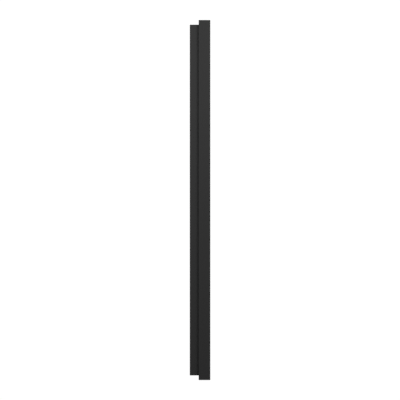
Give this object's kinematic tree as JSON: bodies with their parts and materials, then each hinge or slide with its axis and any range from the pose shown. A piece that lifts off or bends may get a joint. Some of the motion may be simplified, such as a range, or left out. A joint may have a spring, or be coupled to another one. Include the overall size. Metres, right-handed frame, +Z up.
{
  "type": "electric fireplace",
  "caption": "Slim linear wall-hung electric fireplace: matte black surround and shallow chassis, glass front with logs and flame screen, fan heater, push buttons and a wall rail.",
  "frame": {"origin": "middle of the chassis's back face, in the wall plane", "axes": "+X to the right seen from the front, +Y into the wall (the front faces -Y), +Z up"},
  "size_m": [1.727, 0.0986, 0.4625],
  "materials": {
    "chassis_coat": "fine-texture matte black powder coat",
    "surround_coat": "fine-texture matte black powder coat",
    "zinc_steel": "zinc-plated steel",
    "front_glass": "clear toughened glass",
    "gasket_rubber": "matte black",
    "liner_coat": "satin black heat-resistant paint",
    "channel_plastic": "matte black extrusion",
    "frosted_screen": "frosted acrylic that diffuses the flame light",
    "ember_acrylic": "translucent amber acrylic",
    "ember_resin": "charred moulded resin that glows from below",
    "log_wood": "moulded driftwood log, bark textured",
    "branch_wood": "moulded driftwood branch",
    "circuit_board": "green solder mask",
    "light_chip": "light chip, lit amber",
    "stencil_black": "matte black sheet",
    "amber_reflector": "bright amber reflector",
    "rotor_foil": "mirror-bright aluminium petals",
    "motor_can": "plated motor can",
    "bush_bronze": "sintered bronze",
    "fan_alloy": "pressed aluminium",
    "galvanised_sheet": "galvanised sheet",
    "heater_fins": "bare aluminium fins",
    "heater_ceramic": "unglazed insulating ceramic",
    "cutout_metal": "plated disc",
    "relay_case": "moulded blue case",
    "transformer_core": "varnished laminations",
    "capacitor_sleeve": "printed-free black sleeve",
    "terminal_plastic": "natural nylon",
    "gland_plastic": "black nylon",
    "grille_coat": "matte black",
    "fascia_plastic": "gloss black moulding",
    "button_plastic": "satin dark grey, no symbols",
    "lens_tint": "dark red tinted lens",
    "switch_plastic": "black",
    "rocker_plastic": "gloss black",
    "pivot_steel": "plain steel"
  },
  "bodies": {
    "wall_mount": {"wall_rail": "zinc_steel"},
    "chassis": {"rear_chassis": "chassis_coat", "hanger_rail": "chassis_coat", "hanger_rivets": "zinc_steel", "hook_pins": "zinc_steel", "firebox_liner": "liner_coat", "chassis_screws": "zinc_steel", "screen_channels": "channel_plastic", "flame_screen": "frosted_screen", "ember_tray": "ember_acrylic", "ember_bed": "ember_resin", "fire_logs": "log_wood", "branches": "branch_wood", "led_boards": "circuit_board", "light_chips": "light_chip", "flame_stencil": "stencil_black", "back_reflector": "amber_reflector", "centre_bracket": "zinc_steel", "motor_brackets": "zinc_steel", "rotor_motors": "motor_can", "shaft_bushes": "bush_bronze", "blower_housing": "galvanised_sheet", "blower_tongue": "galvanised_sheet", "blower_ends": "zinc_steel", "blower_motor": "motor_can", "outlet_duct": "galvanised_sheet", "heater_core": "heater_fins", "heater_caps": "heater_ceramic", "thermal_cutout": "cutout_metal", "control_board": "circuit_board", "board_standoffs": "zinc_steel", "board_relays": "relay_case", "board_transformer": "transformer_core", "board_capacitors": "capacitor_sleeve", "terminal_block": "terminal_plastic", "cable_gland": "gland_plastic", "gland_nut": "gland_plastic"},
    "surround": {"front_frame": "surround_coat", "frame_hooks": "zinc_steel", "glass_gasket": "gasket_rubber", "glass_pane": "front_glass", "glass_clips": "zinc_steel", "clip_studs": "zinc_steel", "outlet_grille": "grille_coat", "control_fascia": "fascia_plastic", "receiver_lens": "lens_tint", "button_switches": "switch_plastic", "button_board": "circuit_board", "rocker_socket": "rocker_plastic", "rocker_pin": "pivot_steel"},
    "rotor_left": {"flame_rotor_left": "rotor_foil"},
    "rotor_right": {"flame_rotor_right": "rotor_foil"},
    "fan_wheel": {"blower_wheel": "fan_alloy"},
    "rocker": {"rocker_key": "rocker_plastic"},
    "button_1": {"button_1": "button_plastic"},
    "button_2": {"button_2": "button_plastic"},
    "button_3": {"button_3": "button_plastic"},
    "button_4": {"button_4": "button_plastic"},
    "button_5": {"button_5": "button_plastic"}
  },
  "joints": [
    {"name": "unit_hang", "type": "slide", "parent": "wall_mount", "child": "chassis", "axis": [0, 0, 1], "range_m": [0, 0.0135]},
    {"name": "surround_lift", "type": "slide", "parent": "chassis", "child": "surround", "axis": [0, 0, 1], "range_m": [0, 0.012]},
    {"name": "rotor_left_spin", "type": "hinge", "parent": "chassis", "child": "rotor_left", "pos_m": [0, -0.024, -0.165], "axis": [1, 0, 0], "continuous": true},
    {"name": "rotor_right_spin", "type": "hinge", "parent": "chassis", "child": "rotor_right", "pos_m": [0, -0.024, -0.165], "axis": [1, 0, 0], "continuous": true},
    {"name": "fan_spin", "type": "hinge", "parent": "chassis", "child": "fan_wheel", "pos_m": [0, -0.024, 0.18825], "axis": [1, 0, 0], "continuous": true},
    {"name": "button_1_press", "type": "slide", "parent": "surround", "child": "button_1", "axis": [0, 1, 0], "range_m": [0, 0.0012], "stiffness_N_per_m": 800},
    {"name": "button_2_press", "type": "slide", "parent": "surround", "child": "button_2", "axis": [0, 1, 0], "range_m": [0, 0.0012], "stiffness_N_per_m": 800},
    {"name": "button_3_press", "type": "slide", "parent": "surround", "child": "button_3", "axis": [0, 1, 0], "range_m": [0, 0.0012], "stiffness_N_per_m": 800},
    {"name": "button_4_press", "type": "slide", "parent": "surround", "child": "button_4", "axis": [0, 1, 0], "range_m": [0, 0.0012], "stiffness_N_per_m": 800},
    {"name": "button_5_press", "type": "slide", "parent": "surround", "child": "button_5", "axis": [0, 1, 0], "range_m": [0, 0.0012], "stiffness_N_per_m": 800},
    {"name": "rocker_tip", "type": "hinge", "parent": "surround", "child": "rocker", "pos_m": [0.8035, -0.085, -0.22395], "axis": [0, -1, 0], "range_deg": [0, 20]}
  ]
}
